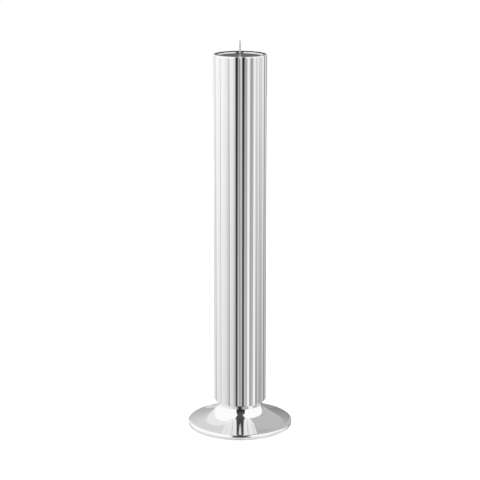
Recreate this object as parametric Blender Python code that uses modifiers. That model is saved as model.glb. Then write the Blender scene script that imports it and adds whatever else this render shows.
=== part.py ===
"""Tall ribbed candle holder for one pillar candle, modelled as its separate pieces.

A ribbed tube stands on a round spun foot with a short neck. A shallow dish with a spike lifts out of
the tube's mouth. One tie rod clamps the head plug, the tube, the foot plug, the foot and its weight.
Metres, +Z up, origin on the surface that the holder stands on, on its axis.
"""

from math import cos, hypot, pi, radians, sin

import bmesh
import bpy

# ---- driving dimensions ----
GAP = 0.0003                  # between pieces that touch
RIM_HEIGHT = 0.5000           # top of the ribbed tube

# ribbed tube
COLUMN_BOTTOM = 0.0345
CREST_RADIUS = 0.0347         # from the axis to a rib's crest
RIB_COUNT = 15
RIB_SWING = radians(29)       # how far a rib's face turns from its crest to the groove beside it
RIB_STEPS = 8
BORE_RADIUS = 0.0312
MOUTH_RADIUS = 0.0320         # counterbore at both ends
COLUMN_TOP_EDGE = 0.0016      # rounding of the tube's ends
COLUMN_BOTTOM_EDGE = 0.0006

# lift-out dish
DISH_LIP_DROP = 0.0011        # lip below the tube's rim
DISH_LIP_RADIUS = 0.0310      # an open channel runs round the lip, inside the tube's mouth
DISH_SHOULDER_DROP = 0.0030   # channel's floor below the tube's rim
DISH_RECESS = 0.0024          # floor below the tube's rim
DISH_LIP = 0.0007
DISH_FLOOR = 0.0016
DISH_SKIRT_HEIGHT = 0.0140    # skirt's lower edge below the tube's rim
DISH_SKIRT = 0.0012
DISH_EDGE = 0.0002
DISH_FILLET = 0.0008          # between the floor and the lip
DISH_BOSS_RADIUS = 0.0050
DISH_BOSS_HEIGHT = 0.0020
CUSHION_THICKNESS = 0.0012
CUSHION_BORE = 0.0290

# spike
SPIKE_HEIGHT = 0.0205         # above the dish's floor
SPIKE_TIP_RADIUS = 0.00025
SPIKE_TIP_LENGTH = 0.0022
SPIKE_NECK_RADIUS = 0.00088
SPIKE_BASE_RADIUS = 0.00132
SPIKE_FOOT_RADIUS = 0.00150
SPIKE_FOOT_HEIGHT = 0.0012
SPIKE_NUT_ACROSS_FLATS = 0.0055
SPIKE_NUT_HEIGHT = 0.0024
SPIKE_WASHER_RADIUS = 0.0035
SPIKE_WASHER_THICKNESS = 0.0006
SPIKE_PROUD = 0.0008          # shank beyond its nut
SPIKE_END_EDGE = 0.0003
SPIKE_POINT_SHARE = 0.8       # how wide the tip's taper is, part of the neck's radius
SPIKE_POINT_HEIGHT = 0.35     # where it is so, part of the tip's length above the neck

# plugs
HEAD_PLUG_HEIGHT = 0.0120
HEAD_POCKET_RADIUS = 0.0085
HEAD_POCKET_DEPTH = 0.0085
FOOT_PLUG_HEIGHT = 0.0080
PLUG_EDGE = 0.0006

# tie rod and its fasteners
ROD_RADIUS = 0.0030
ROD_EDGE = 0.0006
NUT_ACROSS_FLATS = 0.0100
NUT_HEIGHT = 0.0050
NUT_CORNER_RISE = 0.6         # height of a nut's corner chamfer, part of its width
NUT_LEAD = 0.08               # chamfer at a nut's bore, part of the bore's radius
WASHER_RADIUS = 0.0060
WASHER_THICKNESS = 0.0012
WASHER_EDGE = 0.15            # chamfer of a washer, part of its thickness
CLAMP_WASHER_RADIUS = 0.0085
CLAMP_WASHER_THICKNESS = 0.0016
LOCK_WASHER_RADIUS = 0.0052
LOCK_WASHER_THICKNESS = 0.0012
LOCK_SLOT_RADIUS = 0.0006
LOCK_SLOT_STRETCH = 3.0       # how much longer than wide the slot's cutter is
LOCK_SLOT_INSET = 0.0010      # of the cutter's middle from the washer's outside
ROD_PROUD = 0.0012            # rod beyond each nut

# foot
NECK_RADIUS = 0.0300
NECK_BOTTOM = 0.0289
NECK_CORNER = 0.0012
GASKET_THICKNESS = 0.0008
GASKET_RADIUS = 0.0288
GASKET_BORE = 0.0180
RING_EDGE = 0.0001            # chamfer of the soft rings
FLARE_START_SLOPE = 80        # degrees below level; the neck meets the flare in a crease
FOOT_ARCS = (                 # arcs that run on into each other: radius, slope at the end, steps
    (0.0157, 29.6, 6),        # hollow arcs have a positive radius
    (0.0800, 22.8, 1),
    (0.1480, 14.8, 2),
    (-0.0085, 42.0, 2),       # rounded arcs of the rim have a negative one
    (-0.0015, 94.0, 3),
)
FOOT_LIP_RADIUS = 0.0691
FOOT_LIP_HEIGHT = 0.0006      # clear of the table, which only the pad touches
SHEET = 0.0012                # thickness of the spun foot

# inside the foot
WEIGHT_BOTTOM = 0.0046
WEIGHT_CLEARANCE = 0.0009
WEIGHT_RADIUS = 0.0560
WEIGHT_POCKET_RADIUS = 0.0105
WEIGHT_POCKET_DEPTH = 0.0130
WEIGHT_TOP_EDGE = 0.0010
WEIGHT_BOTTOM_LAND = 0.0005   # straight wall at the weight's lower edge
PLATE_RADIUS = 0.0625
PLATE_THICKNESS = 0.0020
PAD_RADIUS = 0.0615
PAD_EDGE = 0.0003
SCREW_COUNT = 3
SCREW_CIRCLE = 0.0250
SCREW_SHANK_RADIUS = 0.0015
SCREW_HEAD_RADIUS = 0.0028
SCREW_HEAD_HEIGHT = 0.0014
SCREW_LENGTH = 0.0080
SCREW_HOLE_SPARE = 0.0010     # hole beyond the screw's end
COUNTERSINK_LIFT = 0.4        # how far a clearance moves the cone down the axis, part of itself
SCREW_SOCKET_RADIUS = 0.0012
SCREW_SOCKET_DEPTH = 0.0009

# facets
ROUND = 48
SMALL_ROUND = 24
TINY_ROUND = 12
SMOOTH_ANGLE = radians(32)
CUT = 0.0005                  # how far a cutter runs past a face
WELD = 0.000001

# ---- heights worked out from the driving dimensions ----
DISH_TOP = RIM_HEIGHT - DISH_LIP_DROP
DISH_SHOULDER = RIM_HEIGHT - DISH_SHOULDER_DROP
DISH_FLOOR_TOP = RIM_HEIGHT - DISH_RECESS
DISH_FLOOR_BOTTOM = DISH_FLOOR_TOP - DISH_FLOOR
DISH_BOSS_BOTTOM = DISH_FLOOR_BOTTOM - DISH_BOSS_HEIGHT
DISH_BOTTOM = RIM_HEIGHT - DISH_SKIRT_HEIGHT
DISH_RADIUS = MOUTH_RADIUS - GAP
SPIKE_WASHER_TOP = DISH_BOSS_BOTTOM - GAP
SPIKE_NUT_TOP = SPIKE_WASHER_TOP - SPIKE_WASHER_THICKNESS - GAP
HEAD_PLUG_TOP = DISH_BOTTOM - CUSHION_THICKNESS - 2 * GAP
HEAD_PLUG_BOTTOM = HEAD_PLUG_TOP - HEAD_PLUG_HEIGHT
HEAD_POCKET_FLOOR = HEAD_PLUG_TOP - HEAD_POCKET_DEPTH
FOOT_PLUG_BOTTOM = COLUMN_BOTTOM + GAP
FOOT_PLUG_TOP = FOOT_PLUG_BOTTOM + FOOT_PLUG_HEIGHT
NECK_TOP = FOOT_PLUG_BOTTOM - GASKET_THICKNESS - 2 * GAP
WEIGHT_TOP = NECK_TOP - SHEET - GAP
WEIGHT_POCKET_TOP = WEIGHT_BOTTOM + WEIGHT_POCKET_DEPTH
PLATE_TOP = WEIGHT_BOTTOM - GAP
PLATE_BOTTOM = PLATE_TOP - PLATE_THICKNESS
PAD_TOP = PLATE_BOTTOM - GAP
ROD_HOLE_RADIUS = ROD_RADIUS + GAP
PLUG_RADIUS = MOUTH_RADIUS - GAP


# ---- scene and materials ----
def clear_scene():
    for obj in list(bpy.data.objects):
        bpy.data.objects.remove(obj, do_unlink=True)


def new_collection(name):
    collection = bpy.data.collections.new(name)
    bpy.context.scene.collection.children.link(collection)
    return collection


def new_material(name, colour, metallic, roughness):
    material = bpy.data.materials.new(name)
    material.use_nodes = True
    shader = material.node_tree.nodes["Principled BSDF"]
    shader.inputs["Base Color"].default_value = (*colour, 1.0)
    shader.inputs["Metallic"].default_value = metallic
    shader.inputs["Roughness"].default_value = roughness
    material.diffuse_color = (*colour, 1.0)
    return material


FINISHES = {
    "polished_steel": ((0.80, 0.80, 0.79), 1.0, 0.05),
    "dish_steel": ((0.76, 0.76, 0.755), 1.0, 0.10),
    "bright_steel": ((0.70, 0.70, 0.70), 1.0, 0.22),
    "turned_aluminium": ((0.66, 0.67, 0.69), 1.0, 0.35),
    "zinc_steel": ((0.62, 0.64, 0.65), 1.0, 0.35),
    "cast_iron": ((0.09, 0.09, 0.09), 0.6, 0.75),
    "black_rubber": ((0.03, 0.03, 0.03), 0.0, 0.70),
    "dark_felt": ((0.05, 0.05, 0.055), 0.0, 0.95),
}


def add_object(name, mesh, finish, collection):
    obj = bpy.data.objects.new(name, mesh)
    colour, metallic, roughness = FINISHES[finish]
    mesh.materials.append(new_material(name, colour, metallic, roughness))
    collection.objects.link(obj)
    return obj


# ---- shape helpers ----
def arc(centre, radius, start, end, steps):
    """Points (r, z) on an arc, its angles in degrees from +X towards +Z."""
    points = []
    for i in range(steps + 1):
        angle = radians(start + (end - start) * i / steps)
        points.append((centre[0] + radius * cos(angle), centre[1] + radius * sin(angle)))
    return points


def profile_mesh(name, points, closed):
    """Edges through (r, z) points in the XZ plane, for a Screw modifier."""
    mesh = bpy.data.meshes.new(name)
    edges = [(i, i + 1) for i in range(len(points) - 1)]
    if closed:
        edges.append((len(points) - 1, 0))
    mesh.from_pydata([(r, 0.0, z) for r, z in points], edges, [])
    return mesh


def turn(obj, steps):
    screw = obj.modifiers.new("Turn", "SCREW")
    screw.axis = "Z"
    screw.angle = 2 * pi
    screw.steps = steps
    screw.render_steps = steps
    screw.use_merge_vertices = True
    screw.merge_threshold = 0.00001
    screw.use_smooth_shade = True
    return screw


def turned(name, points, steps, finish, collection, closed=True):
    """A turned piece. Its profile runs down the outside and, where closed, back up the bore."""
    obj = add_object(name, profile_mesh(name, points, closed), finish, collection)
    turn(obj, steps)
    return obj


def ring_profile(inner, outer, bottom, top, edge):
    """A ring's section with small chamfers on its outer edges, down the outside and up the bore."""
    return [
        (inner, top),
        (outer - edge, top),
        (outer, top - edge),
        (outer, bottom + edge),
        (outer - edge, bottom),
        (inner, bottom),
    ]


def turned_cutter(name, points, steps, collection):
    obj = bpy.data.objects.new(name, profile_mesh(name, points, False))
    collection.objects.link(obj)
    turn(obj, steps)
    return mark_cutter(obj)


def prism_cutter(name, sides, radius, bottom, top, collection, centre=(0.0, 0.0), turned_by=0.0):
    mesh = bpy.data.meshes.new(name)
    shape = bmesh.new()
    bmesh.ops.create_cone(
        shape, cap_ends=True, segments=sides, radius1=radius, radius2=radius, depth=top - bottom
    )
    shape.to_mesh(mesh)
    shape.free()
    obj = bpy.data.objects.new(name, mesh)
    obj.location = (centre[0], centre[1], (bottom + top) / 2)
    obj.rotation_euler = (0.0, 0.0, turned_by)
    collection.objects.link(obj)
    return mark_cutter(obj)


def mark_cutter(obj):
    obj.hide_render = True
    obj.display_type = "WIRE"
    return obj


def boolean(obj, cutter, operation="DIFFERENCE"):
    modifier = obj.modifiers.new(cutter.name, "BOOLEAN")
    modifier.operation = operation
    modifier.solver = "EXACT"
    modifier.object = cutter
    return modifier


def shade_by_angle(obj):
    obj.data.shade_smooth()
    obj.data.set_sharp_from_angle(angle=SMOOTH_ANGLE)


# ---- ribbed tube ----
def rib_outline():
    """One turn of the ribbed outline: round ribs between sharp grooves, a groove facing -Y."""
    half_pitch = pi / RIB_COUNT
    groove_to_crest = cos(half_pitch) + sin(half_pitch) * (1 - cos(RIB_SWING)) / sin(RIB_SWING)
    groove_radius = CREST_RADIUS / groove_to_crest
    rib_radius = groove_radius * sin(half_pitch) / sin(RIB_SWING)
    arc_centre = CREST_RADIUS - rib_radius
    points = []
    for rib in range(RIB_COUNT):
        facing = -pi / 2 + (2 * rib + 1) * half_pitch
        for step in range(RIB_STEPS):
            swing = RIB_SWING * (2 * step / RIB_STEPS - 1)
            out = arc_centre + rib_radius * cos(swing)
            across = rib_radius * sin(swing)
            points.append(
                (
                    out * cos(facing) - across * sin(facing),
                    out * sin(facing) + across * cos(facing),
                )
            )
    return points


def outline_solid(name, outline, bottom, top):
    """A flat outline made solid between two heights, as a welded mesh."""
    curve = bpy.data.curves.new(name, "CURVE")
    curve.dimensions = "2D"
    curve.fill_mode = "BOTH"
    curve.extrude = (top - bottom) / 2
    spline = curve.splines.new("POLY")
    spline.points.add(len(outline) - 1)
    for point, (x, y) in zip(spline.points, outline):
        point.co = (x, y, 0.0, 1.0)
    spline.use_cyclic_u = True
    guide = bpy.data.objects.new(name + "_outline", curve)
    bpy.context.scene.collection.objects.link(guide)
    guide.location.z = (bottom + top) / 2
    bpy.context.view_layer.update()
    evaluated = guide.evaluated_get(bpy.context.evaluated_depsgraph_get())
    mesh = bpy.data.meshes.new_from_object(evaluated)
    mesh.transform(guide.matrix_world)
    mesh.name = name
    shape = bmesh.new()
    shape.from_mesh(mesh)
    bmesh.ops.remove_doubles(shape, verts=shape.verts, dist=WELD)
    caps = [e for e in shape.edges if len({round(v.co.z, 5) for v in e.verts}) == 1
            and all(abs(f.normal.z) > 0.9 for f in e.link_faces)]
    bmesh.ops.dissolve_edges(shape, edges=caps, use_verts=False)
    bmesh.ops.recalc_face_normals(shape, faces=shape.faces)
    shape.to_mesh(mesh)
    shape.free()
    mesh.materials.clear()
    bpy.data.objects.remove(guide, do_unlink=True)
    return mesh


def round_end(column, height, width, segments):
    """Rounds the outer edge at one end of the tube with a Bevel held to that end's vertices."""
    group = column.vertex_groups.new(name=f"end at {height:.3f} m")
    at_end = [v.index for v in column.data.vertices if abs(v.co.z - height) < GAP]
    group.add(at_end, 1.0, "REPLACE")
    rounding = column.modifiers.new("Rounded " + group.name, "BEVEL")
    rounding.width = width
    rounding.segments = segments
    rounding.limit_method = "VGROUP"
    rounding.vertex_group = group.name


def build_ribbed_column(parts, cutters):
    mesh = outline_solid("ribbed_column", rib_outline(), COLUMN_BOTTOM, RIM_HEIGHT)
    column = add_object("ribbed_column", mesh, "polished_steel", parts)
    round_end(column, RIM_HEIGHT, COLUMN_TOP_EDGE, 3)
    round_end(column, COLUMN_BOTTOM, COLUMN_BOTTOM_EDGE, 1)
    head_step = HEAD_PLUG_BOTTOM - GAP
    foot_step = FOOT_PLUG_TOP + GAP
    bore = turned_cutter(
        "column_bore_cutter",
        [
            (0.0, RIM_HEIGHT + CUT),
            (MOUTH_RADIUS, RIM_HEIGHT + CUT),
            (MOUTH_RADIUS, head_step),
            (BORE_RADIUS, head_step),
            (BORE_RADIUS, foot_step),
            (MOUTH_RADIUS, foot_step),
            (MOUTH_RADIUS, COLUMN_BOTTOM - CUT),
            (0.0, COLUMN_BOTTOM - CUT),
        ],
        ROUND,
        cutters,
    )
    boolean(column, bore)
    shade_by_angle(column)


# ---- lift-out dish with its spike ----
def build_candle_dish(parts):
    inner = DISH_LIP_RADIUS - DISH_LIP
    bore = SPIKE_FOOT_RADIUS + GAP
    points = [(bore, DISH_FLOOR_TOP)]
    points += arc((inner - DISH_FILLET, DISH_FLOOR_TOP + DISH_FILLET), DISH_FILLET, -90, 0, 2)
    points += [
        (inner, DISH_TOP - DISH_EDGE),
        (inner + DISH_EDGE, DISH_TOP),
        (DISH_LIP_RADIUS - DISH_EDGE, DISH_TOP),
        (DISH_LIP_RADIUS, DISH_TOP - DISH_EDGE),
        (DISH_LIP_RADIUS, DISH_SHOULDER),
        (DISH_RADIUS - DISH_EDGE, DISH_SHOULDER),
        (DISH_RADIUS, DISH_SHOULDER - DISH_EDGE),
        (DISH_RADIUS, DISH_BOTTOM + DISH_EDGE),
        (DISH_RADIUS - DISH_EDGE, DISH_BOTTOM),
        (DISH_RADIUS - DISH_SKIRT, DISH_BOTTOM),
        (DISH_RADIUS - DISH_SKIRT, DISH_FLOOR_BOTTOM),
        (DISH_BOSS_RADIUS, DISH_FLOOR_BOTTOM),
        (DISH_BOSS_RADIUS, DISH_BOSS_BOTTOM),
        (bore, DISH_BOSS_BOTTOM),
    ]
    turned("candle_dish", points, ROUND, "dish_steel", parts)


def build_pricket_spike(parts):
    tip = DISH_FLOOR_TOP + SPIKE_HEIGHT
    neck = tip - SPIKE_TIP_LENGTH
    foot = DISH_FLOOR_TOP + GAP
    end = SPIKE_NUT_TOP - SPIKE_NUT_HEIGHT - SPIKE_PROUD
    points = [(0.0, tip)]
    points += arc((0.0, tip - SPIKE_TIP_RADIUS), SPIKE_TIP_RADIUS, 60, 15, 3)
    points += [
        (SPIKE_NECK_RADIUS * SPIKE_POINT_SHARE, neck + SPIKE_TIP_LENGTH * SPIKE_POINT_HEIGHT),
        (SPIKE_NECK_RADIUS, neck),
        (SPIKE_BASE_RADIUS, foot + SPIKE_FOOT_HEIGHT),
        (SPIKE_FOOT_RADIUS, foot),
        (SPIKE_FOOT_RADIUS, end + SPIKE_END_EDGE),
        (SPIKE_FOOT_RADIUS - SPIKE_END_EDGE, end),
        (0.0, end),
    ]
    turned("pricket_spike", points, TINY_ROUND, "dish_steel", parts, closed=False)


def build_nut(name, across_flats, height, top, bore, parts, cutters):
    """A hexagon nut: a turned, chamfered blank kept inside a hexagonal prism."""
    corner = across_flats / 2 / cos(pi / 6)
    chamfer = corner - across_flats / 2
    rise = chamfer * NUT_CORNER_RISE
    bottom = top - height
    lead = bore * NUT_LEAD
    points = [
        (bore, top - lead),
        (bore + lead, top),
        (corner - chamfer, top),
        (corner + CUT, top - rise - CUT * NUT_CORNER_RISE),
        (corner + CUT, bottom + rise + CUT * NUT_CORNER_RISE),
        (corner - chamfer, bottom),
        (bore + lead, bottom),
        (bore, bottom + lead),
    ]
    nut = turned(name, points, SMALL_ROUND, "zinc_steel", parts)
    hexagon = prism_cutter(
        name + "_hexagon_cutter", 6, corner, bottom - CUT, top + CUT, cutters, turned_by=pi / 6
    )
    boolean(nut, hexagon, "INTERSECT")
    return nut


def build_washer(name, inner, outer, bottom, thickness, finish, parts, steps=SMALL_ROUND):
    points = ring_profile(inner, outer, bottom, bottom + thickness, thickness * WASHER_EDGE)
    return turned(name, points, steps, finish, parts)


def build_spike_fasteners(parts, cutters):
    bore = SPIKE_FOOT_RADIUS + GAP
    build_washer(
        "spike_washer", bore, SPIKE_WASHER_RADIUS, SPIKE_WASHER_TOP - SPIKE_WASHER_THICKNESS,
        SPIKE_WASHER_THICKNESS, "zinc_steel", parts,
    )
    build_nut(
        "spike_nut", SPIKE_NUT_ACROSS_FLATS, SPIKE_NUT_HEIGHT, SPIKE_NUT_TOP, bore, parts, cutters
    )


# ---- plugs, cushion ring and gasket ----
def build_head_plug(parts):
    points = [
        (HEAD_POCKET_RADIUS, HEAD_PLUG_TOP),
        (PLUG_RADIUS - PLUG_EDGE, HEAD_PLUG_TOP),
        (PLUG_RADIUS, HEAD_PLUG_TOP - PLUG_EDGE),
        (PLUG_RADIUS, HEAD_PLUG_BOTTOM + PLUG_EDGE),
        (PLUG_RADIUS - PLUG_EDGE, HEAD_PLUG_BOTTOM),
        (ROD_HOLE_RADIUS, HEAD_PLUG_BOTTOM),
        (ROD_HOLE_RADIUS, HEAD_POCKET_FLOOR),
        (HEAD_POCKET_RADIUS, HEAD_POCKET_FLOOR),
    ]
    turned("head_plug", points, ROUND, "turned_aluminium", parts)


def build_foot_plug(parts):
    points = ring_profile(
        ROD_HOLE_RADIUS, PLUG_RADIUS, FOOT_PLUG_BOTTOM, FOOT_PLUG_TOP, PLUG_EDGE
    )
    turned("foot_plug", points, ROUND, "turned_aluminium", parts)


def build_soft_rings(parts):
    cushion_bottom = HEAD_PLUG_TOP + GAP
    points = ring_profile(
        CUSHION_BORE, DISH_RADIUS - GAP, cushion_bottom, DISH_BOTTOM - GAP, RING_EDGE
    )
    turned("dish_cushion_ring", points, ROUND, "black_rubber", parts)
    gasket_bottom = NECK_TOP + GAP
    points = ring_profile(
        GASKET_BORE, GASKET_RADIUS, gasket_bottom, gasket_bottom + GASKET_THICKNESS, RING_EDGE
    )
    turned("neck_gasket", points, ROUND, "black_rubber", parts)


# ---- tie rod and its fasteners ----
def build_tie_rod(parts, cutters):
    washer_top = HEAD_POCKET_FLOOR + GAP + WASHER_THICKNESS
    head_nut_top = washer_top + GAP + NUT_HEIGHT
    clamp_washer_top = WEIGHT_POCKET_TOP - GAP
    lock_washer_top = clamp_washer_top - CLAMP_WASHER_THICKNESS - GAP
    clamp_nut_top = lock_washer_top - LOCK_WASHER_THICKNESS - GAP
    rod_top = head_nut_top + ROD_PROUD
    rod_bottom = clamp_nut_top - NUT_HEIGHT - ROD_PROUD
    rod = [
        (0.0, rod_top),
        (ROD_RADIUS - ROD_EDGE, rod_top),
        (ROD_RADIUS, rod_top - ROD_EDGE),
        (ROD_RADIUS, rod_bottom + ROD_EDGE),
        (ROD_RADIUS - ROD_EDGE, rod_bottom),
        (0.0, rod_bottom),
    ]
    turned("tie_rod", rod, SMALL_ROUND, "zinc_steel", parts, closed=False)
    build_washer(
        "head_washer", ROD_HOLE_RADIUS, WASHER_RADIUS, HEAD_POCKET_FLOOR + GAP,
        WASHER_THICKNESS, "zinc_steel", parts,
    )
    build_nut("head_nut", NUT_ACROSS_FLATS, NUT_HEIGHT, head_nut_top, ROD_HOLE_RADIUS, parts, cutters)
    build_washer(
        "clamp_washer", ROD_HOLE_RADIUS, CLAMP_WASHER_RADIUS,
        clamp_washer_top - CLAMP_WASHER_THICKNESS, CLAMP_WASHER_THICKNESS, "zinc_steel", parts,
    )
    build_lock_washer(lock_washer_top, parts, cutters)
    build_nut(
        "clamp_nut", NUT_ACROSS_FLATS, NUT_HEIGHT, clamp_nut_top, ROD_HOLE_RADIUS, parts, cutters
    )


def build_lock_washer(top, parts, cutters):
    """A spring washer: a ring with a narrow slanted slot through one side."""
    washer = build_washer(
        "lock_washer", ROD_HOLE_RADIUS, LOCK_WASHER_RADIUS, top - LOCK_WASHER_THICKNESS,
        LOCK_WASHER_THICKNESS, "bright_steel", parts,
    )
    slot = prism_cutter(
        "lock_washer_slot_cutter", 4, LOCK_SLOT_RADIUS, top - LOCK_WASHER_THICKNESS - CUT, top + CUT,
        cutters, centre=(LOCK_WASHER_RADIUS - LOCK_SLOT_INSET, 0.0), turned_by=pi / 4,
    )
    slot.scale = (LOCK_SLOT_STRETCH, 1.0, 1.0)
    boolean(washer, slot)


# ---- foot ----
def foot_outline():
    """The foot's outer surface from the rod hole out over the neck, the flare and the rim."""
    points = [(ROD_HOLE_RADIUS, NECK_TOP)]
    points += arc((NECK_RADIUS - NECK_CORNER, NECK_TOP - NECK_CORNER), NECK_CORNER, 90, 0, 2)
    points.append((NECK_RADIUS, NECK_BOTTOM))
    slope = FLARE_START_SLOPE
    for radius, end_slope, steps in FOOT_ARCS:
        r, z = points[-1]
        centre = (r + radius * sin(radians(slope)), z + radius * cos(radians(slope)))
        points += arc(centre, radius, 270 - slope, 270 - end_slope, steps)[1:]
        slope = end_slope
    points.append((FOOT_LIP_RADIUS, FOOT_LIP_HEIGHT))
    return points


def build_foot_shell(parts):
    shell = turned("foot_shell", foot_outline(), ROUND, "polished_steel", parts, closed=False)
    sheet = shell.modifiers.new("Sheet", "SOLIDIFY")
    sheet.thickness = SHEET
    sheet.offset = -1.0
    sheet.use_even_offset = True
    return shell


def offset_inwards(points, distance):
    """Points moved square to the run of an outline, towards the axis side and down."""
    moved = []
    for i, (r, z) in enumerate(points):
        before = points[max(i - 1, 0)]
        after = points[min(i + 1, len(points) - 1)]
        run = after[0] - before[0]
        rise = after[1] - before[1]
        length = hypot(run, rise)
        moved.append((r + rise / length * distance, z - run / length * distance))
    return moved


def build_foot_weight(parts, cutters):
    """A cast weight that follows the inside of the neck and the flare."""
    clearance = SHEET + WEIGHT_CLEARANCE
    flare = [p for p in foot_outline() if p[0] >= NECK_RADIUS - 0.00001 and p[0] < WEIGHT_RADIUS]
    outer = [p for p in offset_inwards(flare, clearance) if p[1] < NECK_BOTTOM]
    neck = NECK_RADIUS - clearance
    points = [
        (ROD_HOLE_RADIUS, WEIGHT_TOP),
        (neck - WEIGHT_TOP_EDGE, WEIGHT_TOP),
        (neck, WEIGHT_TOP - WEIGHT_TOP_EDGE),
    ]
    points += [p for p in outer if p[1] > WEIGHT_BOTTOM + WEIGHT_BOTTOM_LAND]
    last_radius = points[-1][0]
    points += [
        (last_radius, WEIGHT_BOTTOM),
        (WEIGHT_POCKET_RADIUS, WEIGHT_BOTTOM),
        (WEIGHT_POCKET_RADIUS, WEIGHT_POCKET_TOP),
        (ROD_HOLE_RADIUS, WEIGHT_POCKET_TOP),
    ]
    weight = turned("foot_weight", points, ROUND, "cast_iron", parts)
    for number, centre in enumerate(screw_centres(), 1):
        hole = prism_cutter(
            f"weight_hole_cutter_{number}", TINY_ROUND, SCREW_SHANK_RADIUS + GAP,
            WEIGHT_BOTTOM - CUT, PLATE_BOTTOM + SCREW_LENGTH + SCREW_HOLE_SPARE, cutters, centre,
        )
        boolean(weight, hole)


def screw_centres():
    spots = []
    for i in range(SCREW_COUNT):
        angle = pi / 2 + 2 * pi * i / SCREW_COUNT
        spots.append((SCREW_CIRCLE * cos(angle), SCREW_CIRCLE * sin(angle)))
    return spots


def countersink_profile(clearance):
    """A countersunk screw's section, head down, from its point to its flat head face."""
    head = PLATE_BOTTOM + SCREW_HEAD_HEIGHT
    return [
        (0.0, PLATE_BOTTOM + SCREW_LENGTH + clearance),
        (SCREW_SHANK_RADIUS + clearance, PLATE_BOTTOM + SCREW_LENGTH + clearance),
        (SCREW_SHANK_RADIUS + clearance, head + clearance * COUNTERSINK_LIFT),
        (SCREW_HEAD_RADIUS + clearance, PLATE_BOTTOM + clearance * COUNTERSINK_LIFT),
    ]


def build_base_plate(parts, cutters):
    points = [
        (0.0, PLATE_TOP),
        (PLATE_RADIUS, PLATE_TOP),
        (PLATE_RADIUS, PLATE_BOTTOM),
        (0.0, PLATE_BOTTOM),
    ]
    plate = turned("base_plate", points, ROUND, "zinc_steel", parts, closed=False)
    for number, centre in enumerate(screw_centres(), 1):
        section = countersink_profile(GAP)
        section += [(section[-1][0], PLATE_BOTTOM - CUT), (0.0, PLATE_BOTTOM - CUT)]
        hole = turned_cutter(f"plate_hole_cutter_{number}", section, TINY_ROUND, cutters)
        hole.location = (centre[0], centre[1], 0.0)
        boolean(plate, hole)


def build_base_screws(parts, cutters):
    for number, centre in enumerate(screw_centres(), 1):
        section = countersink_profile(0.0)
        section += [(SCREW_HEAD_RADIUS, PLATE_BOTTOM), (0.0, PLATE_BOTTOM)]
        del section[3]
        name = f"base_screw_{number}"
        screw = turned(name, section, TINY_ROUND, "zinc_steel", parts, closed=False)
        screw.location = (centre[0], centre[1], 0.0)
        socket = prism_cutter(
            f"screw_socket_cutter_{number}", 6, SCREW_SOCKET_RADIUS, PLATE_BOTTOM - CUT,
            PLATE_BOTTOM + SCREW_SOCKET_DEPTH, cutters, centre,
        )
        boolean(screw, socket)


def build_base_pad(parts):
    points = [
        (0.0, PAD_TOP),
        (PAD_RADIUS - PAD_EDGE, PAD_TOP),
        (PAD_RADIUS, PAD_TOP - PAD_EDGE),
        (PAD_RADIUS, PAD_EDGE),
        (PAD_RADIUS - PAD_EDGE, 0.0),
        (0.0, 0.0),
    ]
    turned("base_pad", points, ROUND, "dark_felt", parts, closed=False)


def main():
    clear_scene()
    parts = new_collection("candle_holder")
    cutters = new_collection("cutters")
    build_ribbed_column(parts, cutters)
    build_candle_dish(parts)
    build_pricket_spike(parts)
    build_spike_fasteners(parts, cutters)
    build_soft_rings(parts)
    build_head_plug(parts)
    build_foot_plug(parts)
    build_tie_rod(parts, cutters)
    build_foot_shell(parts)
    build_foot_weight(parts, cutters)
    build_base_plate(parts, cutters)
    build_base_screws(parts, cutters)
    build_base_pad(parts)


main()
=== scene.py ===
"""Looks of the tall ribbed candle holder: fine meshes, finishes, studio and camera.

Metres, +Z up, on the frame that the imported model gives. Every size that the frame can give is read
from its boxes; the others are the shape's own driving dimensions, named below.
"""

from math import atan2, cos, hypot, pi, radians, sin, sqrt

import bpy
from mathutils import Euler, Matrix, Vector


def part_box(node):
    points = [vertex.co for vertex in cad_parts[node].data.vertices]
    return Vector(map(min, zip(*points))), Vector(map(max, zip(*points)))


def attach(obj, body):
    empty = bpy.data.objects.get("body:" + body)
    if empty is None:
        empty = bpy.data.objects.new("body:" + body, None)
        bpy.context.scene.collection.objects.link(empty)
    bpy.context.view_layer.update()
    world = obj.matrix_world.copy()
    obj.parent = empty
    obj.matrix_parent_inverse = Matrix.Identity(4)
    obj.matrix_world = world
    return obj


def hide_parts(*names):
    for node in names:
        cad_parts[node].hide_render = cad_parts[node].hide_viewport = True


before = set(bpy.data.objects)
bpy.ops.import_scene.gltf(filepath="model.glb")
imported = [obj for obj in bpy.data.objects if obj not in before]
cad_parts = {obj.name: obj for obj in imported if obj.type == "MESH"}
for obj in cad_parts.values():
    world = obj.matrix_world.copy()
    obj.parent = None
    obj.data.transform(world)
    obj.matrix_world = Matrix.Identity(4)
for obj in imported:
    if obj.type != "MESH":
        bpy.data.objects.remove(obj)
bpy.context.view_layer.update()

HOLDER = "candle_holder"
INSERT = "dish_insert"

# ---- shape of the visible pieces ----
# GAP keeps apart the pieces that touch in the real holder. A radius under ON_AXIS is on the axis.
GAP = 0.0003
ON_AXIS = 1e-7

# The ribbed column: rib arcs that meet in small fillets, with a rounded top and a nearly sharp bottom.
CREST_RADIUS = 0.0347
RIB_COUNT = 15
RIB_SWING = radians(29.5)
RIB_STEPS = 26
GROOVE_FILLET = 0.0012
GROOVE_STEPS = 5
TOP_EDGE = 0.0016
BOTTOM_EDGE = 0.0006
TOP_EDGE_STEPS = 7
BOTTOM_EDGE_STEPS = 4
EDGE_LEAD = 0.0002
BORE_STEP = 0.0008
MOUTH_CHAMFER = 0.0002

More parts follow.
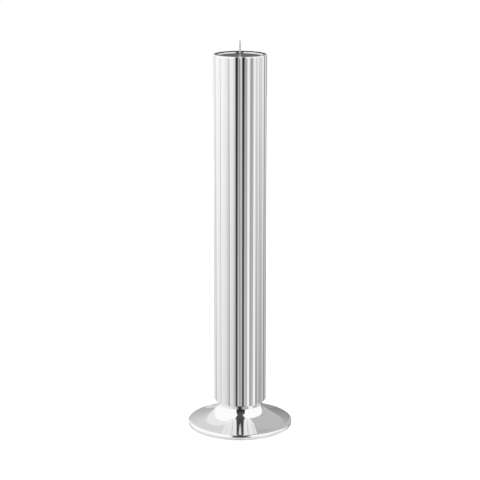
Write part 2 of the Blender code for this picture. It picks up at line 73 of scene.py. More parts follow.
# The foot's outside, from the neck down. Each arc is (radius, slope in degrees where it ends, steps);
# a hollow arc has a positive radius and a rounded one a negative radius.
NECK_RADIUS = 0.0300
NECK_CORNER = 0.0012
NECK_BOTTOM = 0.0289
FLARE_START_SLOPE = 80
FOOT_ARCS = (
    (0.0157, 29.6, 40),
    (0.0800, 22.8, 16),
    (0.1480, 14.8, 20),
    (-0.0085, 42.0, 16),
    (-0.0015, 94.0, 10),
)
LIP_RADIUS = 0.0691
SHEET = 0.0012

# The dish. Its shoulder and its recessed floor are measured down from its lip, DISH_FLOOR is how
# thick the floor is, and the boss hangs from the floor's underside.
DISH_LIP_RADIUS = 0.0310
DISH_LIP = 0.0007
DISH_SHOULDER = 0.0019
DISH_RECESS = 0.0013
DISH_FLOOR = 0.0016
DISH_SKIRT = 0.0012
DISH_BOSS_RADIUS = 0.0050
DISH_BOSS_HEIGHT = 0.0020
DISH_FILLET = 0.0008
DISH_EDGE = 0.0002

# The spike: (radius, drop below the tip) down its blade, (radius, rise above the floor) at its foot.
SPIKE_POINT = 0.00025
SPIKE_POINT_SWEEP = (75, 12)
SPIKE_TAPER = (
    (0.00068, 0.0012),
    (0.00082, 0.0020),
    (0.00090, 0.0034),
)
SPIKE_FLARE = (
    (0.00130, 0.0016),
    (0.00138, 0.0008),
)
SPIKE_END_EDGE = 0.0003

# Facets, and the angles in degrees past which an edge is shaded sharp.
CORNER_STEPS = 8
EDGE_STEPS = 3
POINT_STEPS = 6
ROUND_STEPS = 360
DISH_STEPS = 240
SMALL_STEPS = 64
COLUMN_SHARP = 50
FOOT_SHARP = 14
DISH_SHARP = 40

# Painted shade: the tube's bore and lower end face and the dish's outside are made nearly black, and
# rougher as unpolished, and the grooves darker grey. Of these, the soft width says how wide the change
# is, and the groove reach how far up a rib's flank the grooves' painted shade goes.
BORE_SHADE_RADIUS = 0.0322
SKIRT_SHADE_RADIUS = 0.0309
SHADE_SOFT = 0.0001
PAINTED_SHADE_COLOUR = (0.018, 0.018, 0.019)
RAW_ROUGHNESS = 0.45
GROOVE_SHADE_COLOUR = (0.16, 0.16, 0.165)
GROOVE_SHADE_STRENGTH = 0.55
GROOVE_SHADE_REACH = 0.00022

# How deep each finish's texture is.
HAIRLINE_DEPTH = 0.0000006
ZINC_DEPTH = 0.00001
SAND_DEPTH = 0.00012
SKIN_DEPTH = 0.00003
FELT_DEPTH = 0.00025

# How fast the turning marks vary from one to the next, per metre, and how much round a turn.
TURNING_SCALE = 900.0
TURNING_DRIFT = 0.4

# The felt's fibres, per metre across a fibre, along it and down into the felt.
FIBRE_SCALES = (2600.0, 420.0, 900.0)


# ---- mesh helpers ----
def arc(centre, radius, start, end, steps):
    """Points (r, z) on an arc, its angles in degrees from +X towards +Z."""
    angles = [radians(start + (end - start) * i / steps) for i in range(steps + 1)]
    return [(centre[0] + radius * cos(a), centre[1] + radius * sin(a)) for a in angles]


def new_object(name, vertices, faces, sharp_angle):
    mesh = bpy.data.meshes.new(name)
    mesh.from_pydata(vertices, [], faces)
    mesh.validate()
    mesh.update()
    mesh.shade_smooth()
    mesh.set_sharp_from_angle(angle=radians(sharp_angle))
    obj = bpy.data.objects.new(name, mesh)
    bpy.context.scene.collection.objects.link(obj)
    return obj


def lathe(name, section, steps, sharp_angle):
    """A turned solid. Its closed section runs down the outside and back up the bore.

    A point at radius 0 is shared by the whole turn.
    """
    vertices = []
    columns = []
    for r, z in section:
        if r < ON_AXIS:
            vertices.append((0.0, 0.0, z))
            columns.append([len(vertices) - 1] * steps)
            continue
        first = len(vertices)
        for i in range(steps):
            angle = 2 * pi * i / steps
            vertices.append((r * cos(angle), r * sin(angle), z))
        columns.append(list(range(first, first + steps)))
    faces = []
    for upper, lower in zip(columns, columns[1:] + columns[:1]):
        for i in range(steps):
            j = (i + 1) % steps
            corners = []
            for vertex in (upper[i], lower[i], lower[j], upper[j]):
                if vertex not in corners:
                    corners.append(vertex)
            if len(corners) > 2:
                faces.append(corners)
    return new_object(name, vertices, faces, sharp_angle)


def loft(name, rings, sharp_angle):
    """A closed band through rings of equal count, the last ring joined to the first."""
    count = len(rings[0])
    vertices = [point for ring in rings for point in ring]
    faces = []
    for k in range(len(rings)):
        upper = k * count
        lower = ((k + 1) % len(rings)) * count
        for i in range(count):
            j = (i + 1) % count
            faces.append((upper + i, lower + i, lower + j, upper + j))
    return new_object(name, vertices, faces, sharp_angle)


def offset_section(points, distance):
    """Points moved square to the run of a section by a distance, towards its inner side."""
    moved = []
    for i, (r, z) in enumerate(points):
        before = points[max(i - 1, 0)]
        after = points[min(i + 1, len(points) - 1)]
        run, rise = after[0] - before[0], after[1] - before[1]
        length = hypot(run, rise)
        moved.append((r + rise / length * distance, z - run / length * distance))
    return moved


def stand_for(obj, node, body, material):
    """Dress a fine piece and let it take the place of a CAD node on a body."""
    obj.data.materials.append(material)
    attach(obj, body)
    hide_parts(node)
    return obj


# ---- finishes ----
class Nodes:
    """Short names for building a node tree.

    A value that goes into a socket is either another node's output or a plain number or colour.
    """

    def __init__(self, tree):
        self.tree = tree

    def add(self, kind, **settings):
        node = self.tree.nodes.new(kind)
        for key, value in settings.items():
            setattr(node, key, value)
        return node

    def link(self, value, socket):
        if isinstance(value, bpy.types.NodeSocket):
            self.tree.links.new(value, socket)
        else:
            socket.default_value = value

    def math(self, operation, a, b=0.0):
        node = self.add("ShaderNodeMath", operation=operation)
        self.link(a, node.inputs[0])
        self.link(b, node.inputs[1])
        return node.outputs[0]

    def span(self, value, low, high, to_low=0.0, to_high=1.0, smooth=True):
        """A value between low and high, carried over to between to_low and to_high."""
        kind = "SMOOTHSTEP" if smooth else "LINEAR"
        node = self.add("ShaderNodeMapRange", interpolation_type=kind)
        for socket, content in zip(node.inputs, (value, low, high, to_low, to_high)):
            self.link(content, socket)
        return node.outputs[0]

    def blend(self, factor, a, b):
        """From number a to number b. The node keeps a pair of sockets for each type it can mix."""
        node = self.add("ShaderNodeMix", data_type="FLOAT")
        self.link(factor, node.inputs[0])
        self.link(a, node.inputs[2])
        self.link(b, node.inputs[3])
        return node.outputs[0]

    def colour(self, factor, a, b):
        """From colour a to colour b."""
        node = self.add("ShaderNodeMix", data_type="RGBA")
        self.link(factor, node.inputs[0])
        self.link(a, node.inputs[6])
        self.link(b, node.inputs[7])
        return node.outputs[2]

    def noise(self, vector, scale, detail=2.0, roughness=0.5):
        node = self.add("ShaderNodeTexNoise")
        self.link(vector, node.inputs["Vector"])
        node.inputs["Scale"].default_value = scale
        node.inputs["Detail"].default_value = detail
        node.inputs["Roughness"].default_value = roughness
        return node.outputs["Fac"]

    def stretched(self, vector, scale):
        node = self.add("ShaderNodeMapping")
        self.link(vector, node.inputs["Vector"])
        node.inputs["Scale"].default_value = scale
        return node.outputs[0]

    def bump(self, height, depth):
        node = self.add("ShaderNodeBump")
        node.inputs["Strength"].default_value = 1.0
        node.inputs["Distance"].default_value = depth
        self.link(height, node.inputs["Height"])
        return node.outputs[0]


def start_material(name, colour, metallic):
    """A new material with (its node tree, its shader, the place on the piece in metres)."""
    material = bpy.data.materials.new(name)
    material.use_nodes = True
    material.diffuse_color = (*colour, 1.0)
    nodes = Nodes(material.node_tree)
    shader = material.node_tree.nodes["Principled BSDF"]
    shader.inputs["Metallic"].default_value = metallic
    place = nodes.add("ShaderNodeTexCoord").outputs["Object"]
    return material, nodes, shader, place


def polar(nodes, place):
    """(distance from the axis, angle round it, height) of a place, for marks that follow the turn."""
    split = nodes.add("ShaderNodeSeparateXYZ")
    nodes.link(place, split.inputs[0])
    x, y, z = split.outputs
    distance = nodes.math("SQRT", nodes.math("ADD", nodes.math("MULTIPLY", x, x),
                                             nodes.math("MULTIPLY", y, y)))
    return distance, nodes.math("ARCTAN2", y, x), z


def joined(nodes, x, y, z):
    """One vector of three values."""
    node = nodes.add("ShaderNodeCombineXYZ")
    for socket, value in zip(node.inputs, (x, y, z)):
        nodes.link(value, socket)
    return node.outputs[0]


def polished_metal(name, colour, lines, gloss, haze, ribbed=False):
    """Mirror-polished steel with hairlines left by the polishing, faint haze and a slow tone drift.

    lines is the scale of the hairlines' pattern as (per metre out, round the axis, per metre up).
    gloss is the roughness where the polish is clean, and haze what smudges and hairlines add.
    ribbed is for the tube: its bore and its sawn lower end get painted shade, nearly black and rougher
    as unpolished, and its grooves get painted shade, darker than its crests.
    """
    material, nodes, shader, place = start_material(name, colour, 1.0)
    distance, angle, height = polar(nodes, place)
    grain_place = joined(
        nodes,
        nodes.math("MULTIPLY", distance, lines[0]),
        nodes.math("MULTIPLY", nodes.math("SINE", angle), lines[1]),
        nodes.math("ADD", nodes.math("MULTIPLY", height, lines[2]),
                   nodes.math("MULTIPLY", nodes.math("COSINE", angle), lines[1])),
    )
    grain = nodes.noise(grain_place, scale=1.0, detail=4.0, roughness=0.6)
    smudge = nodes.noise(place, scale=38.0, detail=3.0, roughness=0.55)
    drift = nodes.noise(place, scale=11.0)
    tone = nodes.colour(
        nodes.span(drift, 0.35, 0.65),
        (colour[0] * 0.985, colour[1] * 0.985, colour[2] * 0.99, 1.0),
        (*colour, 1.0),
    )
    rough = nodes.math("ADD", nodes.span(grain, 0.35, 0.75, 0.0, haze * 0.5),
                       nodes.span(smudge, 0.45, 0.75, gloss, gloss + haze))
    if ribbed:
        groove = min(spot.length for spot, outward in rib_outline(CREST_RADIUS))
        bottom, top = (corner[2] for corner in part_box("ribbed_column"))
        # Painted shade: the grooves are darkened towards a grey, except close under the top edge.
        groove_shade = nodes.span(distance, groove, groove + GROOVE_SHADE_REACH, GROOVE_SHADE_STRENGTH, 0.0)
        below_edge = nodes.span(height, top - 2 * TOP_EDGE, top - TOP_EDGE, 1.0, 0.0)
        tone = nodes.colour(nodes.math("MULTIPLY", groove_shade, below_edge), tone, (*GROOVE_SHADE_COLOUR, 1.0))
        # Painted shade: the bore and the sawn lower end face are made nearly black, and rougher as
        # unpolished.
        bore = nodes.span(distance, BORE_SHADE_RADIUS - SHADE_SOFT, BORE_SHADE_RADIUS, 1.0, 0.0)
        underside = nodes.span(height, bottom, bottom + SHADE_SOFT, 1.0, 0.0)
        raw_and_shade = nodes.math("MAXIMUM", bore, underside)
        tone = nodes.colour(raw_and_shade, tone, (*PAINTED_SHADE_COLOUR, 1.0))
        rough = nodes.blend(raw_and_shade, rough, RAW_ROUGHNESS)
    nodes.link(tone, shader.inputs["Base Color"])
    nodes.link(rough, shader.inputs["Roughness"])
    nodes.link(nodes.bump(grain, HAIRLINE_DEPTH), shader.inputs["Normal"])
    return material


def turned_metal(name, colour, gloss, line_pitch, line_depth, haze, shaded_skirt=False):
    """Metal with the fine spiral marks of turning, with painted shade in their troughs, and a slow
    haze.

    Set for the dish, the last argument paints shade on the dish's outside: nearly black, and rougher.
    """
    material, nodes, shader, place = start_material(name, colour, 1.0)
    distance, angle, height = polar(nodes, place)
    run = nodes.math("ADD", distance, height)
    wave = nodes.math("SINE", nodes.math("MULTIPLY", run, 2 * pi / line_pitch))
    uneven_place = joined(
        nodes,
        nodes.math("MULTIPLY", run, TURNING_SCALE),
        nodes.math("MULTIPLY", nodes.math("SINE", angle), TURNING_DRIFT),
        nodes.math("MULTIPLY", nodes.math("COSINE", angle), TURNING_DRIFT),
    )
    uneven = nodes.noise(uneven_place, scale=1.0, detail=3.0, roughness=0.7)
    cloud = nodes.noise(place, scale=60.0, detail=4.0)
    ridge = nodes.math("ADD", nodes.math("MULTIPLY", wave, 0.35), uneven)
    # Painted shade: the troughs of the turning marks are darker; the cloud adds random tone.
    tone = nodes.colour(
        nodes.span(nodes.math("ADD", uneven, nodes.math("MULTIPLY", cloud, 0.5)), 0.45, 0.95),
        (colour[0] * 0.86, colour[1] * 0.86, colour[2] * 0.87, 1.0),
        (*colour, 1.0),
    )
    # Painted shade: with the skirt flag set, the dish's outside is made nearly black, and rougher.
    raw_and_shade = nodes.span(distance, SKIRT_SHADE_RADIUS, SKIRT_SHADE_RADIUS + SHADE_SOFT, 0.0, 1.0 if shaded_skirt else 0.0)
    tone = nodes.colour(raw_and_shade, tone, (*PAINTED_SHADE_COLOUR, 1.0))
    nodes.link(tone, shader.inputs["Base Color"])
    rough = nodes.span(cloud, 0.35, 0.7, gloss, gloss + haze)
    nodes.link(nodes.blend(raw_and_shade, rough, RAW_ROUGHNESS), shader.inputs["Roughness"])
    nodes.link(nodes.bump(ridge, line_depth), shader.inputs["Normal"])
    return material


def zinc_plate(name, colour):
    """Bright zinc plating: a fine crystal mottle, faint yellow patches and small pits."""
    material, nodes, shader, place = start_material(name, colour, 1.0)
    mottle = nodes.noise(place, scale=420.0, detail=5.0, roughness=0.7)
    patch = nodes.noise(place, scale=70.0, detail=3.0)
    cells = nodes.add("ShaderNodeTexVoronoi")
    cells.inputs["Scale"].default_value = 900.0
    nodes.link(place, cells.inputs["Vector"])
    tone = nodes.colour(
        nodes.span(patch, 0.4, 0.65),
        (*colour, 1.0),
        (colour[0] * 1.03, colour[1] * 0.99, colour[2] * 0.88, 1.0),
    )
    tone = nodes.colour(nodes.span(mottle, 0.55, 0.8, 0.0, 0.35), tone, (0.33, 0.34, 0.35, 1.0))
    nodes.link(tone, shader.inputs["Base Color"])
    nodes.link(nodes.span(mottle, 0.3, 0.75, 0.22, 0.46), shader.inputs["Roughness"])
    height = nodes.math("ADD", mottle, nodes.math("MULTIPLY", cells.outputs["Distance"], 0.4))
    nodes.link(nodes.bump(height, ZINC_DEPTH), shader.inputs["Normal"])
    return material


def sand_cast_iron(name):
    """Black-dipped cast iron: sand texture, shallow pits and brown where the dip is thin."""
    material, nodes, shader, place = start_material(name, (0.05, 0.05, 0.05), 0.35)
    sand = nodes.noise(place, scale=900.0, detail=6.0, roughness=0.75)
    lumps = nodes.noise(place, scale=130.0, detail=3.0)
    thin = nodes.noise(place, scale=55.0, detail=5.0, roughness=0.6)
    tone = nodes.colour(nodes.span(sand, 0.35, 0.7), (0.020, 0.020, 0.021, 1.0),
                        (0.060, 0.060, 0.062, 1.0))
    tone = nodes.colour(nodes.span(thin, 0.60, 0.75, 0.0, 0.7), tone, (0.090, 0.050, 0.032, 1.0))
    nodes.link(tone, shader.inputs["Base Color"])
    nodes.link(nodes.span(sand, 0.3, 0.7, 0.55, 0.85), shader.inputs["Roughness"])
    height = nodes.math("ADD", sand, nodes.math("MULTIPLY", lumps, 1.6))
    nodes.link(nodes.bump(height, SAND_DEPTH), shader.inputs["Normal"])
    return material


def soft_rubber(name):
    """Matt black rubber with mould bloom and a fine skin."""
    material, nodes, shader, place = start_material(name, (0.03, 0.03, 0.03), 0.0)
    bloom = nodes.noise(place, scale=160.0, detail=5.0, roughness=0.65)
    skin = nodes.noise(place, scale=2400.0)
    tone = nodes.colour(nodes.span(bloom, 0.45, 0.75), (0.018, 0.018, 0.019, 1.0),
                        (0.045, 0.045, 0.047, 1.0))
    nodes.link(tone, shader.inputs["Base Color"])
    nodes.link(nodes.span(bloom, 0.3, 0.7, 0.55, 0.80), shader.inputs["Roughness"])
    nodes.link(nodes.bump(skin, SKIN_DEPTH), shader.inputs["Normal"])
    shader.inputs["Specular IOR Level"].default_value = 0.35
    return material


def pressed_felt(name):
    """Dark wool felt: tangled fibres in two directions, pilling and paler flecks."""
    material, nodes, shader, place = start_material(name, (0.05, 0.05, 0.055), 0.0)
    fine, coarse, deep = FIBRE_SCALES
    across = nodes.noise(nodes.stretched(place, (fine, coarse, deep)), 1.0, 4.0, 0.7)
    along = nodes.noise(nodes.stretched(place, (coarse, fine, deep)), 1.0, 4.0, 0.7)
    pills = nodes.noise(place, scale=240.0, detail=4.0)
    fibre = nodes.math("MAXIMUM", across, along)
    tone = nodes.colour(nodes.span(fibre, 0.45, 0.8), (0.022, 0.022, 0.025, 1.0),
                        (0.085, 0.085, 0.092, 1.0))
    tone = nodes.colour(nodes.span(pills, 0.55, 0.75, 0.0, 0.5), tone, (0.11, 0.11, 0.12, 1.0))
    nodes.link(tone, shader.inputs["Base Color"])
    nodes.link(nodes.span(fibre, 0.3, 0.8, 0.88, 1.0), shader.inputs["Roughness"])
    height = nodes.math("ADD", fibre, nodes.math("MULTIPLY", pills, 0.7))
    nodes.link(nodes.bump(height, FELT_DEPTH), shader.inputs["Normal"])
    shader.inputs["Sheen Weight"].default_value = 0.35
    shader.inputs["Sheen Roughness"].default_value = 0.6
    return material


# ---- ribbed column ----
def rib_outline(crest_radius):
    """(place, outward direction) round the ribbed outline, a groove facing -Y."""
    half_pitch = pi / RIB_COUNT
    share = cos(half_pitch) + sin(half_pitch) * (1 - cos(RIB_SWING)) / sin(RIB_SWING)
    groove_radius = crest_radius / share
    rib_radius = groove_radius * sin(half_pitch) / sin(RIB_SWING)
    rib_centre = crest_radius - rib_radius
    reach = rib_radius + GROOVE_FILLET
    fillet_centre = rib_centre * cos(half_pitch) + sqrt(
        reach ** 2 - (rib_centre * sin(half_pitch)) ** 2
    )
    rib_end = atan2(
        fillet_centre * sin(half_pitch), fillet_centre * cos(half_pitch) - rib_centre
    )
    fillet_end = rib_end - half_pitch
    outline = []
    for rib in range(RIB_COUNT):
        groove = -pi / 2 + 2 * rib * half_pitch
        for step in range(GROOVE_STEPS):
            lean = fillet_end * (1 - 2 * (step + 0.5) / GROOVE_STEPS)
            outward = groove + lean
            outline.append((
                Vector((fillet_centre * cos(groove) - GROOVE_FILLET * cos(outward),
                        fillet_centre * sin(groove) - GROOVE_FILLET * sin(outward))),
                Vector((cos(outward), sin(outward))),
            ))
        facing = groove + half_pitch
        for step in range(RIB_STEPS + 1):
            outward = facing + rib_end * (2 * step / RIB_STEPS - 1)
            outline.append((
                Vector((rib_centre * cos(facing) + rib_radius * cos(outward),
                        rib_centre * sin(facing) + rib_radius * sin(outward))),
                Vector((cos(outward), sin(outward))),
            ))
    return outline


def rounded_end(end, width, side, steps):
    """(inset, height) from the wall to the end face, side +1 at the top and -1 at the bottom."""
    curve = [(0.0, end - side * (width + EDGE_LEAD))]
    for i in range(steps + 1):
        turned = pi / 2 * i / steps
        curve.append((width * (1 - cos(turned)), end - side * width * (1 - sin(turned))))
    return curve


def build_column(metal):
    low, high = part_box("ribbed_column")
    plug_low, plug_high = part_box("head_plug")
    foot_plug_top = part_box("foot_plug")[1][2]
    bottom, top = low[2], high[2]
    mouth = plug_high[0] + GAP
    bore = mouth - BORE_STEP
    outline = rib_outline(CREST_RADIUS)
    upper = rounded_end(top, TOP_EDGE, 1, TOP_EDGE_STEPS)
    lower = rounded_end(bottom, BOTTOM_EDGE, -1, BOTTOM_EDGE_STEPS)
    rings = []
    for inset, z in list(reversed(upper)) + lower:
        rings.append([(*(place - outward * inset), z) for place, outward in outline])
    inner = (
        (mouth, bottom),
        (mouth, foot_plug_top + GAP),
        (bore, foot_plug_top + GAP),
        (bore, plug_low[2] - GAP),
        (mouth, plug_low[2] - GAP),
        (mouth, top - MOUTH_CHAMFER),
        (mouth + MOUTH_CHAMFER, top),
    )
    for radius, z in inner:
        rings.append([(*(place.normalized() * radius), z) for place, outward in outline])
    column = loft("ribbed_column_fine", rings, COLUMN_SHARP)
    return stand_for(column, "ribbed_column", HOLDER, metal)


# ---- foot ----
def foot_outline(top, lip_height):
    """The foot's outside from the neck's top down to the lip that the rim turns under to."""
    points = arc((NECK_RADIUS - NECK_CORNER, top - NECK_CORNER), NECK_CORNER, 90, 0, CORNER_STEPS)
    points.append((NECK_RADIUS, NECK_BOTTOM))
    slope = FLARE_START_SLOPE
    for radius, end_slope, steps in FOOT_ARCS:
        r, z = points[-1]
        centre = (r + radius * sin(radians(slope)), z + radius * cos(radians(slope)))
        points += arc(centre, radius, 270 - slope, 270 - end_slope, steps)[1:]
        slope = end_slope
    points.append((LIP_RADIUS, lip_height))
    return points


def build_foot(metal):
    low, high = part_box("foot_shell")
    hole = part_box("tie_rod")[1][0] + GAP
    outer = foot_outline(high[2], low[2])
    outer.insert(0, (hole, high[2]))
    inner = offset_section(outer, SHEET)
    inner[0] = (hole, high[2] - SHEET)
    foot = lathe("foot_shell_fine", outer + list(reversed(inner)), ROUND_STEPS, FOOT_SHARP)
    return stand_for(foot, "foot_shell", HOLDER, metal)


# ---- dish and spike ----
def build_dish(metal):
    low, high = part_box("candle_dish")
    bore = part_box("pricket_spike")[1][0] + GAP
    radius, bottom, top = high[0], low[2], high[2]
    inner = DISH_LIP_RADIUS - DISH_LIP
    shoulder = top - DISH_SHOULDER
    floor = top - DISH_RECESS
    underside = floor - DISH_FLOOR
    edge = DISH_EDGE
    section = [(bore, floor)]
    section += arc((inner - DISH_FILLET, floor + DISH_FILLET), DISH_FILLET, -90, 0, CORNER_STEPS)
    section += arc((inner + edge, top - edge), edge, 180, 90, EDGE_STEPS)
    section += arc((DISH_LIP_RADIUS - edge, top - edge), edge, 90, 0, EDGE_STEPS)
    section.append((DISH_LIP_RADIUS, shoulder))
    section += arc((radius - edge, shoulder - edge), edge, 90, 0, EDGE_STEPS)
    section += arc((radius - edge, bottom + edge), edge, 0, -90, EDGE_STEPS)
    section += [
        (radius - DISH_SKIRT, bottom),
        (radius - DISH_SKIRT, underside),
        (DISH_BOSS_RADIUS, underside),
        (DISH_BOSS_RADIUS, underside - DISH_BOSS_HEIGHT),
        (bore, underside - DISH_BOSS_HEIGHT),
    ]
    dish = lathe("candle_dish_fine", section, DISH_STEPS, DISH_SHARP)
    return stand_for(dish, "candle_dish", INSERT, metal)


def build_spike(metal):
    low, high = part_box("pricket_spike")
    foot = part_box("candle_dish")[1][2] - DISH_RECESS + GAP
    tip, end, shank = high[2], low[2], high[0]
    section = [(0.0, tip)]
    section += arc((0.0, tip - SPIKE_POINT), SPIKE_POINT, *SPIKE_POINT_SWEEP, POINT_STEPS)
    section += [(radius, tip - drop) for radius, drop in SPIKE_TAPER]
    section += [(radius, foot + rise) for radius, rise in SPIKE_FLARE]
    section += [
        (shank, foot),
        (shank, end + SPIKE_END_EDGE),
        (shank - SPIKE_END_EDGE, end),
        (0.0, end),
    ]
    spike = lathe("pricket_spike_fine", section, SMALL_STEPS, DISH_SHARP)
    return stand_for(spike, "pricket_spike", INSERT, metal)


# ---- studio ----
# Levels are 8-bit sRGB ones, as a mirror that loses nothing would show them. Azimuth 0 is towards the
# camera and grows to its right, and all angles are in degrees.

# Below the level of the eye: (azimuth from, azimuth to, soft edge, level at UPPER_ELEVATION, level at
# LOWER_ELEVATION), each laid over the ones before it.
LOW_BASE = (246, 226)
LOW_CARDS = (
    (-132, -100, 10, 249, 232),
    (-64, -38, 10, 237, 216),
    (-38, -10, 10, 222, 190),
    (-157, -132, 12, 228, 195),
    (-180, -157, 8, 205, 165),
    (156, 180, 8, 145, 132),
    (18, 44, 10, 166, 183),
    (44, 68, 8, 238, 247),
    (68, 100, 12, 214, 160),
    (100, 130, 12, 238, 192),
    (130, 156, 10, 150, 136),
)
# The dark gap behind the camera: (azimuth from, azimuth to, soft edge, level) at the two elevations.
LOW_GAP = ((-14, 17, 10, 30), (-14, 10, 9, 62))
UPPER_ELEVATION = -7
LOWER_ELEVATION = -19

# Above: two grey back walls, lighter with height, and cards of one level over them.
BACK_LEFT = ((-6, 158), (12, 188), (30, 213))
BACK_RIGHT = ((-6, 127), (12, 149), (30, 175))
HIGH_CARDS = (
    (-158, -146, 3, 232),
    (-147, -10, 3, 252),
    (125, 164, 3, 184),
    (15, 126, 3, 252),
)
HORIZON = (-5, -1)

# A dark band low on the back wall, straight behind the holder.
BACK_BAND = 100
BACK_BAND_BOTTOM = (0, 4)
BACK_BAND_TOP = (10, 13)
BACK_BAND_SIDES = (175, 185, 4)

# A dark slit that goes on up from the gap behind the camera, and over the top to the back.
SLIT_SIDES = (-18, 25, 3)
SLIT_END = (40, 55)
OVER_MIDDLE = 0.01
OVER_HALF_WIDTH = (0.16, 0.20)
OVER_START = (0.10, 0.22)
OVER_LOWEST = (30, 45)
SLIT_LEVELS = (36, 78)
SLIT_RISE = (0, 50)

# The table round the holder, faint again where only a view from high above mirrors it.
TABLE_LEVEL = 222
TABLE_EDGE = (-30, -22)
TABLE_FADE = (-46, -34)
TABLE_FAINT = 0.4

# The even light on matt surfaces, and the mirror's own colour, which the world makes up for.
FILL = 1.15
METAL_COLOUR = (0.80, 0.80, 0.80)

FLOOR_HALF = 3.0
FLOOR_GLOW = 0.35

CAMERA_LENS = 119.6
CAMERA_SENSOR = 36.0
CAMERA_PLACE = (0.0, -2.043, 0.751)
CAMERA_TILT = 76.336


def level(shown):
    """Scene-linear brightness of an 8-bit sRGB level."""
    value = shown / 255
    return value / 12.92 if value < 0.04045 else ((value + 0.055) / 1.055) ** 2.4


def wedge(nodes, azimuth, start, end, soft):
    """1 between two azimuths, falling smoothly to 0 across each edge."""
    middle = (start + end) / 2
    half = (end - start) / 2
    turned = nodes.math("FLOORED_MODULO", nodes.math("ADD", azimuth, 540 - middle), 360)
    away = nodes.math("ABSOLUTE", nodes.math("SUBTRACT", turned, 180))
    return nodes.span(away, half - soft / 2, half + soft / 2, 1.0, 0.0)


def graded(nodes, elevation, stops):
    """Brightness that rises with elevation through three (elevation, level) stops."""
    (first, dim), (middle, half), (last, full) = stops
    lower = nodes.span(elevation, first, middle, level(dim), level(half), smooth=False)
    upper = nodes.span(elevation, middle, last, 0.0, level(full) - level(half), smooth=False)
    return nodes.math("ADD", lower, upper)


def low_surroundings(nodes, azimuth, elevation):
    """What a mirror that looks below the horizon shows: cards, the dark gap and the table."""
    sink = nodes.span(elevation, UPPER_ELEVATION, LOWER_ELEVATION, 0.0, 1.0, smooth=False)
    low = nodes.blend(sink, level(LOW_BASE[0]), level(LOW_BASE[1]))
    for start, end, soft, upper, lower in LOW_CARDS:
        tone = nodes.blend(sink, level(upper), level(lower))
        low = nodes.blend(wedge(nodes, azimuth, start, end, soft), low, tone)
    dark = []
    for start, end, soft, shown in LOW_GAP:
        dark.append((wedge(nodes, azimuth, start, end, 2 * soft), level(shown)))
    cover = nodes.blend(sink, dark[0][0], dark[1][0])
    low = nodes.blend(cover, low, nodes.blend(sink, dark[0][1], dark[1][1]))
    table = nodes.math("MULTIPLY", nodes.span(elevation, *TABLE_EDGE, 1.0, 0.0),
                       nodes.span(elevation, *TABLE_FADE, TABLE_FAINT, 1.0))
    return nodes.blend(table, low, level(TABLE_LEVEL))


def high_surroundings(nodes, azimuth, elevation, x, y):
    """What a mirror that looks above the horizon shows: back walls, cards, the band and the slit."""
    high = nodes.blend(
        wedge(nodes, azimuth, -180, 0, 2),
        graded(nodes, elevation, BACK_RIGHT),
        graded(nodes, elevation, BACK_LEFT),
    )
    for start, end, soft, shown in HIGH_CARDS:
        high = nodes.blend(wedge(nodes, azimuth, start, end, soft), high, level(shown))
    band = nodes.math("MULTIPLY", nodes.span(elevation, *BACK_BAND_BOTTOM),
                      nodes.span(elevation, *BACK_BAND_TOP, 1.0, 0.0))
    band = nodes.math("MULTIPLY", band, wedge(nodes, azimuth, *BACK_BAND_SIDES))
    high = nodes.blend(band, high, level(BACK_BAND))
    ahead = nodes.math("MULTIPLY", wedge(nodes, azimuth, *SLIT_SIDES),
                       nodes.span(elevation, *SLIT_END, 1.0, 0.0))
    aside = nodes.math("ABSOLUTE", nodes.math("SUBTRACT", x, OVER_MIDDLE))
    over = nodes.math("MULTIPLY", nodes.span(aside, *OVER_HALF_WIDTH, 1.0, 0.0),
                      nodes.span(y, *OVER_START, 1.0, 0.0))
    over = nodes.math("MULTIPLY", over, nodes.span(elevation, *OVER_LOWEST))
    dark = nodes.span(elevation, *SLIT_RISE, level(SLIT_LEVELS[0]), level(SLIT_LEVELS[1]))
    return nodes.blend(nodes.math("MAXIMUM", ahead, over), high, dark)


def build_world():
    """Mirrors see the studio, the camera plain white, and matt surfaces an even light."""
    world = bpy.data.worlds.new("studio")
    bpy.context.scene.world = world
    world.use_nodes = True
    tree = world.node_tree
    tree.nodes.clear()
    nodes = Nodes(tree)
    split = nodes.add("ShaderNodeSeparateXYZ")
    nodes.link(nodes.add("ShaderNodeTexCoord").outputs["Generated"], split.inputs[0])
    x, y, z = split.outputs
    to_degrees = 180 / pi
    azimuth = nodes.math("ARCTAN2", x, nodes.math("MULTIPLY", y, -1.0))
    azimuth = nodes.math("MULTIPLY", azimuth, to_degrees)
    elevation = nodes.math("MULTIPLY", nodes.math("ARCSINE", z), to_degrees)
    low = low_surroundings(nodes, azimuth, elevation)
    high = high_surroundings(nodes, azimuth, elevation, x, y)
    lit = nodes.blend(nodes.span(elevation, *HORIZON), low, high)
    lit = nodes.math("DIVIDE", lit, METAL_COLOUR[0])

    path = nodes.add("ShaderNodeLightPath")
    seen = nodes.blend(path.outputs["Is Camera Ray"], lit, 1.0)
    seen = nodes.blend(path.outputs["Is Diffuse Ray"], seen, FILL)
    background = nodes.add("ShaderNodeBackground")
    nodes.link(seen, background.inputs["Color"])
    output = nodes.add("ShaderNodeOutputWorld")
    tree.links.new(background.outputs[0], output.inputs[0])


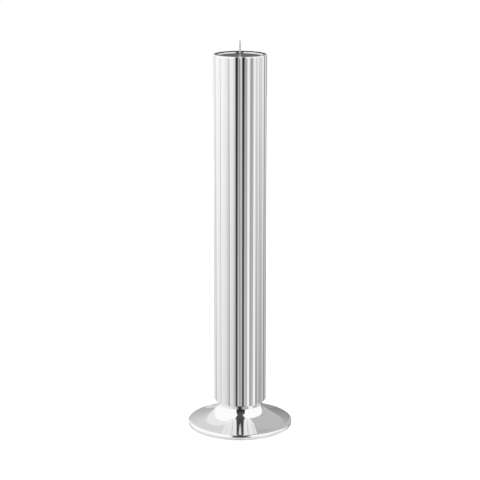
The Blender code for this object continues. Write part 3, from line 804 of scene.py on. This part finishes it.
def build_floor():
    """A pale floor that no mirror shows, so that the studio's table stays what the foot mirrors."""
    mesh = bpy.data.meshes.new("studio_floor")
    half = FLOOR_HALF
    corners = [(-half, -half, 0), (half, -half, 0), (half, half, 0), (-half, half, 0)]
    mesh.from_pydata(corners, [], [(0, 1, 2, 3)])
    floor = bpy.data.objects.new("studio_floor", mesh)
    bpy.context.scene.collection.objects.link(floor)
    material, nodes, shader, place = start_material("pale_floor", (0.9, 0.9, 0.9), 0.0)
    mottle = nodes.noise(place, scale=9.0, detail=3.0)
    tone = nodes.colour(nodes.span(mottle, 0.3, 0.7), (0.90, 0.90, 0.90, 1.0),
                        (0.92, 0.92, 0.92, 1.0))
    nodes.link(tone, shader.inputs["Base Color"])
    shader.inputs["Roughness"].default_value = 0.8
    shader.inputs["Emission Color"].default_value = (1.0, 1.0, 1.0, 1.0)
    shader.inputs["Emission Strength"].default_value = FLOOR_GLOW
    mesh.materials.append(material)
    floor.visible_glossy = False


def build_camera():
    data = bpy.data.cameras.new("camera")
    data.lens = CAMERA_LENS
    data.sensor_width = CAMERA_SENSOR
    camera = bpy.data.objects.new("camera", data)
    camera.location = CAMERA_PLACE
    camera.rotation_euler = Euler((radians(CAMERA_TILT), 0.0, 0.0))
    bpy.context.scene.collection.objects.link(camera)
    bpy.context.scene.camera = camera


def repaint(finishes):
    """Give CAD nodes that are shown as they are their finish."""
    for node, material in finishes.items():
        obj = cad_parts[node]
        obj.data.materials.clear()
        obj.data.materials.append(material)


def main():
    bpy.context.scene.view_settings.view_transform = "Standard"
    column_metal = polished_metal("polished_column", METAL_COLOUR, lines=(0.0, 120.0, 6.0),
                                  gloss=0.035, haze=0.02, ribbed=True)
    foot_metal = polished_metal("polished_foot", METAL_COLOUR, lines=(2600.0, 0.6, 2600.0),
                                gloss=0.03, haze=0.02)
    dish_metal = turned_metal("turned_dish", (0.74, 0.74, 0.74), gloss=0.05, line_pitch=0.0004,
                              line_depth=0.0000004, haze=0.03, shaded_skirt=True)
    spike_metal = polished_metal("polished_spike", (0.52, 0.52, 0.52), lines=(0.0, 60.0, 900.0),
                                 gloss=0.12, haze=0.06)
    aluminium = turned_metal("turned_aluminium", (0.70, 0.71, 0.73), gloss=0.26,
                             line_pitch=0.0003, line_depth=0.00001, haze=0.12)
    zinc = zinc_plate("zinc_plate", (0.62, 0.64, 0.65))
    spring = zinc_plate("phosphated_spring", (0.30, 0.31, 0.33))
    iron = sand_cast_iron("black_cast_iron")
    rubber = soft_rubber("black_rubber")
    felt = pressed_felt("pressed_felt")
    build_column(column_metal)
    build_foot(foot_metal)
    build_dish(dish_metal)
    build_spike(spike_metal)
    repaint({
        "head_plug": aluminium,
        "foot_plug": aluminium,
        "tie_rod": zinc,
        "head_washer": zinc,
        "head_nut": zinc,
        "clamp_washer": zinc,
        "clamp_nut": zinc,
        "lock_washer": spring,
        "spike_washer": zinc,
        "spike_nut": zinc,
        "base_plate": zinc,
        "base_screw_1": zinc,
        "base_screw_2": zinc,
        "base_screw_3": zinc,
        "foot_weight": iron,
        "dish_cushion_ring": rubber,
        "neck_gasket": rubber,
        "base_pad": felt,
    })
    build_world()
    build_floor()
    build_camera()


main()
bpy.context.view_layer.update()
